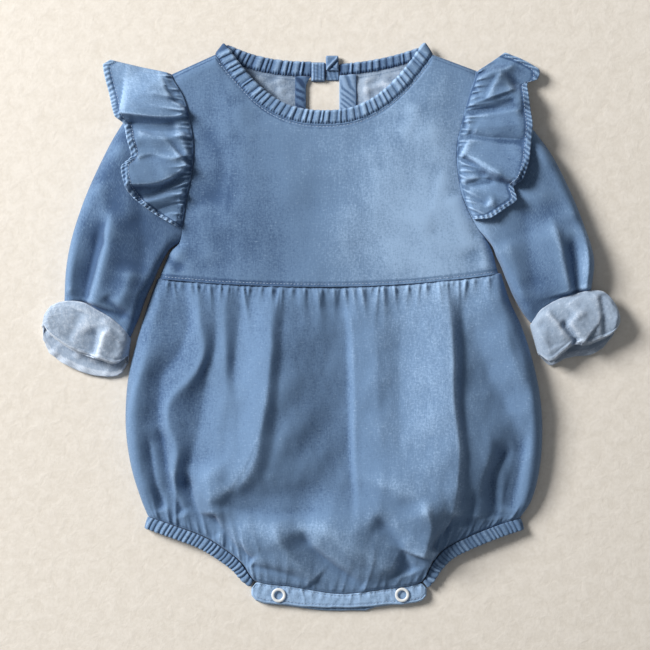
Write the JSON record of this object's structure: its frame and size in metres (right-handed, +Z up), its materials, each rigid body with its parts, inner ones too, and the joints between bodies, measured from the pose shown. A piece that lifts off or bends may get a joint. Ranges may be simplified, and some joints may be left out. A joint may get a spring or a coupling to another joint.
{
  "type": "baby bubble romper, laid flat",
  "caption": "Baby's long-sleeved bubble romper in light chambray, laid flat: gathered neck frill, back keyhole, shoulder ruffles, rolled cuffs, elastic legs, snap crotch.",
  "frame": {"origin": "on the surface that the garment lies on, under the middle of its outline", "axes": "+X towards the garment's own left sleeve (the viewer's right), +Y from the crotch to the neck, +Z up from the surface, out of the garment's front"},
  "size_m": [0.4258, 0.4192, 0.0278],
  "materials": {
    "chambray": "washed light blue chambray, right side",
    "chambray_wrong_side": "paler wrong side of the same cloth",
    "chambray_binding": "darker folded binding of the same cloth",
    "snap_enamel": "white enamelled snap ring"
  },
  "bodies": {
    "root": {"bodice_front": "chambray", "bodice_back": "chambray_wrong_side", "keyhole_facing": "chambray_binding", "skirt_front": "chambray", "skirt_back": "chambray_wrong_side", "sleeve_left": "chambray", "sleeve_right": "chambray", "cuff_left": "chambray_wrong_side", "cuff_right": "chambray_wrong_side", "neck_frill_front": "chambray", "neck_frill_back_left": "chambray_binding", "neck_frill_back_right": "chambray_binding", "closure_tab": "chambray_binding", "closure_underlap": "chambray_binding", "closure_loop": "chambray_binding", "leg_casing_left": "chambray", "leg_casing_right": "chambray", "crotch_band_back": "chambray", "crotch_band_front": "chambray", "snap_left": "snap_enamel", "snap_right": "snap_enamel", "ruffle_left": "chambray", "ruffle_right": "chambray"}
  },
  "joints": []
}
